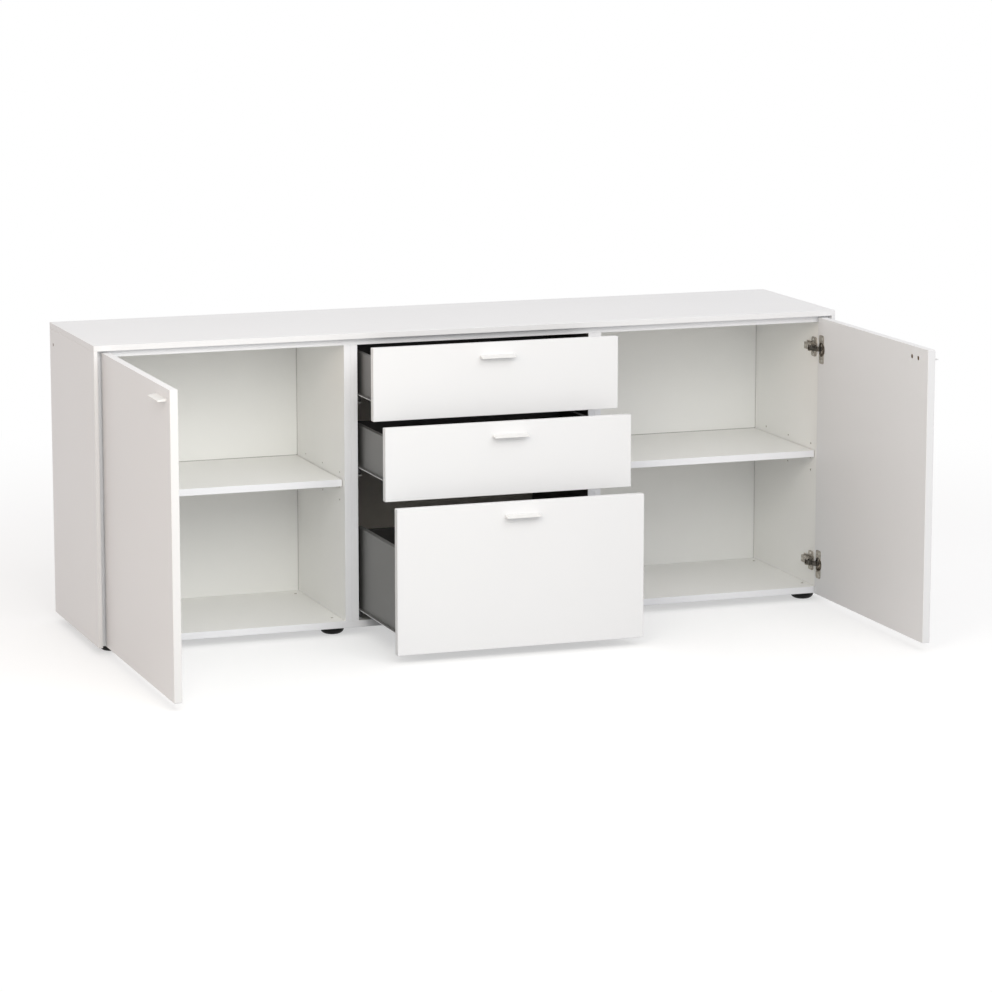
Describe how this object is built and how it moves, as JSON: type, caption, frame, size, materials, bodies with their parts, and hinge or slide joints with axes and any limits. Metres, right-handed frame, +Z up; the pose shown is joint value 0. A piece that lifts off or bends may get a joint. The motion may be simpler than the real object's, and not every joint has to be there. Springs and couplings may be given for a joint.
{
  "type": "sideboard",
  "caption": "Long low white sideboard standing open, with hinged doors over shelved compartments either side of a stack of roller drawers, lip handles and round levelling feet.",
  "frame": {"origin": "on the floor, in the middle of the box around the sideboard as it stands open", "axes": "+X to the right along the front, +Y from the front to the back, +Z up"},
  "size_m": [1.801, 0.999, 0.705],
  "materials": {
    "white_board": "smooth white melamine-faced board, satin",
    "carcass_board": "white melamine-faced board, satin",
    "dark_board": "dark grey melamine-faced board, matt",
    "drawer_board": "graphite grey foil-wrapped board, satin",
    "handle_metal": "white powder coat, satin",
    "hinge_steel": "nickel-plated pressed steel",
    "rail_steel": "silver-grey powder-coated steel strip",
    "fixing_steel": "zinc-plated steel",
    "roller_plastic": "black moulded plastic, slightly glossy",
    "black_plastic": "black moulded plastic, matt"
  },
  "bodies": {
    "cabinet": {"top_plate": "white_board", "left_cover_panel": "white_board", "right_cover_panel": "white_board", "left_carcass_side": "carcass_board", "right_carcass_side": "carcass_board", "carcass_top": "carcass_board", "carcass_bottom": "carcass_board", "left_partition": "carcass_board", "right_partition": "carcass_board", "left_bay_panel": "dark_board", "right_bay_panel": "dark_board", "left_back_panel": "carcass_board", "centre_back_panel": "carcass_board", "right_back_panel": "carcass_board", "left_shelf": "carcass_board", "right_shelf": "carcass_board", "shelf_pins": "fixing_steel", "levelling_feet": "black_plastic", "hinge_plates": "hinge_steel", "hinge_arms": "hinge_steel", "hinge_arm_pins": "fixing_steel", "hinge_screws": "fixing_steel", "cabinet_rails": "rail_steel"},
    "left_links": {"left_hinge_links": "hinge_steel"},
    "left_door": {"left_door_panel": "white_board", "left_hinge_cups": "hinge_steel", "left_door_handle": "handle_metal", "left_door_screws": "fixing_steel"},
    "right_links": {"right_hinge_links": "hinge_steel"},
    "right_door": {"right_door_panel": "white_board", "right_hinge_cups": "hinge_steel", "right_door_handle": "handle_metal", "right_door_screws": "fixing_steel"},
    "top_drawer": {"top_drawer_front": "white_board", "top_drawer_sides": "drawer_board", "top_drawer_back": "drawer_board", "top_drawer_bottom": "drawer_board", "top_drawer_handle": "handle_metal", "top_drawer_screws": "fixing_steel", "top_drawer_rails": "rail_steel"},
    "top_front_roller_pair": {"top_front_rollers": "roller_plastic"},
    "top_rear_roller_pair": {"top_rear_rollers": "roller_plastic"},
    "middle_drawer": {"middle_drawer_front": "white_board", "middle_drawer_sides": "drawer_board", "middle_drawer_back": "drawer_board", "middle_drawer_bottom": "drawer_board", "middle_drawer_handle": "handle_metal", "middle_drawer_screws": "fixing_steel", "middle_drawer_rails": "rail_steel"},
    "middle_front_roller_pair": {"middle_front_rollers": "roller_plastic"},
    "middle_rear_roller_pair": {"middle_rear_rollers": "roller_plastic"},
    "bottom_drawer": {"bottom_drawer_front": "white_board", "bottom_drawer_sides": "drawer_board", "bottom_drawer_back": "drawer_board", "bottom_drawer_bottom": "drawer_board", "bottom_drawer_handle": "handle_metal", "bottom_drawer_screws": "fixing_steel", "bottom_drawer_rails": "rail_steel"},
    "bottom_front_roller_pair": {"bottom_front_rollers": "roller_plastic"},
    "bottom_rear_roller_pair": {"bottom_rear_rollers": "roller_plastic"}
  },
  "joints": [
    {"name": "left_link_swing", "type": "hinge", "parent": "cabinet", "child": "left_links", "pos_m": [-0.853, 0.10952, 0.35425], "axis": [0, 0, -1], "range_deg": [-2.81, 24.5]},
    {"name": "left_door_hinge", "type": "hinge", "parent": "left_links", "child": "left_door", "pos_m": [-0.8675, 0.08098, 0.35425], "axis": [0, 0, -1], "range_deg": [-114.4, 12.71]},
    {"name": "right_link_swing", "type": "hinge", "parent": "cabinet", "child": "right_links", "pos_m": [0.853, 0.10952, 0.35425], "axis": [0, 0, 1], "range_deg": [-2.81, 24.5]},
    {"name": "right_door_hinge", "type": "hinge", "parent": "right_links", "child": "right_door", "pos_m": [0.8675, 0.08098, 0.35425], "axis": [0, 0, 1], "range_deg": [-114.4, 12.71]},
    {"name": "top_drawer_slide", "type": "slide", "parent": "cabinet", "child": "top_drawer", "axis": [0, -1, 0], "range_m": [-0.136, 0.176]},
    {"name": "top_front_rollers_spin", "type": "hinge", "parent": "cabinet", "child": "top_front_roller_pair", "pos_m": [0, 0.10952, 0.551], "axis": [1, 0, 0], "range_deg": [-979, 1265.5]},
    {"name": "top_rear_rollers_spin", "type": "hinge", "parent": "top_drawer", "child": "top_rear_roller_pair", "pos_m": [0, 0.30352, 0.54965], "axis": [1, 0, 0], "range_deg": [-1065.2, 1377]},
    {"name": "middle_drawer_slide", "type": "slide", "parent": "cabinet", "child": "middle_drawer", "axis": [0, -1, 0], "range_m": [-0.22, 0.092]},
    {"name": "middle_front_rollers_spin", "type": "hinge", "parent": "cabinet", "child": "middle_front_roller_pair", "pos_m": [0, 0.10952, 0.3825], "axis": [1, 0, 0], "range_deg": [-1580.6, 663.9]},
    {"name": "middle_rear_rollers_spin", "type": "hinge", "parent": "middle_drawer", "child": "middle_rear_roller_pair", "pos_m": [0, 0.21952, 0.38115], "axis": [1, 0, 0], "range_deg": [-1720, 722.2]},
    {"name": "bottom_drawer_slide", "type": "slide", "parent": "cabinet", "child": "bottom_drawer", "axis": [0, -1, 0], "range_m": [-0.302, 0.01]},
    {"name": "bottom_front_rollers_spin", "type": "hinge", "parent": "cabinet", "child": "bottom_front_roller_pair", "pos_m": [0, 0.10952, 0.0495], "axis": [1, 0, 0], "range_deg": [-2167.9, 76.6]},
    {"name": "bottom_rear_rollers_spin", "type": "hinge", "parent": "bottom_drawer", "child": "bottom_rear_roller_pair", "pos_m": [0, 0.13752, 0.04815], "axis": [1, 0, 0], "range_deg": [-2359.2, 83]}
  ],
  "couplings": [
    {"joint": "left_link_swing", "follows": "left_door_hinge", "ratio": -0.21329},
    {"joint": "right_link_swing", "follows": "right_door_hinge", "ratio": -0.21329},
    {"joint": "top_front_rollers_spin", "follows": "top_drawer_slide", "rad_per_m": 125},
    {"joint": "top_rear_rollers_spin", "follows": "top_drawer_slide", "rad_per_m": 136.05},
    {"joint": "middle_front_rollers_spin", "follows": "middle_drawer_slide", "rad_per_m": 125},
    {"joint": "middle_rear_rollers_spin", "follows": "middle_drawer_slide", "rad_per_m": 136.05},
    {"joint": "bottom_front_rollers_spin", "follows": "bottom_drawer_slide", "rad_per_m": 125},
    {"joint": "bottom_rear_rollers_spin", "follows": "bottom_drawer_slide", "rad_per_m": 136.05}
  ]
}
